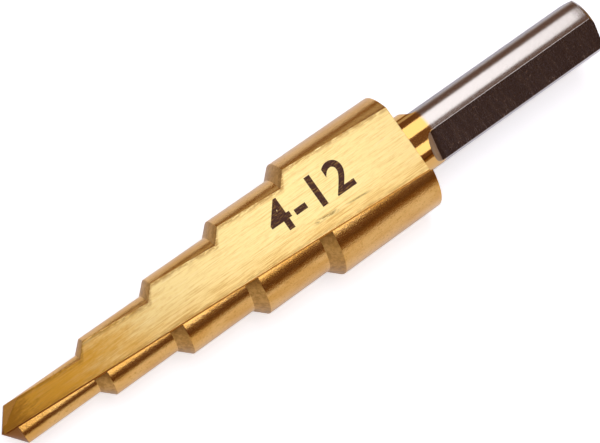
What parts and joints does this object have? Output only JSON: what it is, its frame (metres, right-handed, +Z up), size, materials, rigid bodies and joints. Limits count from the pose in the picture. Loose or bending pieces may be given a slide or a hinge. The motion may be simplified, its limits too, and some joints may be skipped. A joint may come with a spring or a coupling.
{
  "type": "step drill bit",
  "caption": "Stepped conical drill bit with a sharp point, straight flutes, gold coated cutting body and a bare round shank with ground flats.",
  "frame": {"origin": "on the floor, under the middle of the tool's box, with the tool lying at rest on its lower flute", "axes": "+X along the tool from its point to its shank, +Z up"},
  "size_m": [0.0658, 0.012, 0.0105],
  "materials": {
    "coated_steel": "gold nitride coating on ground steel, shank bare"
  },
  "bodies": {
    "root": {"step_drill": "coated_steel"}
  },
  "joints": []
}
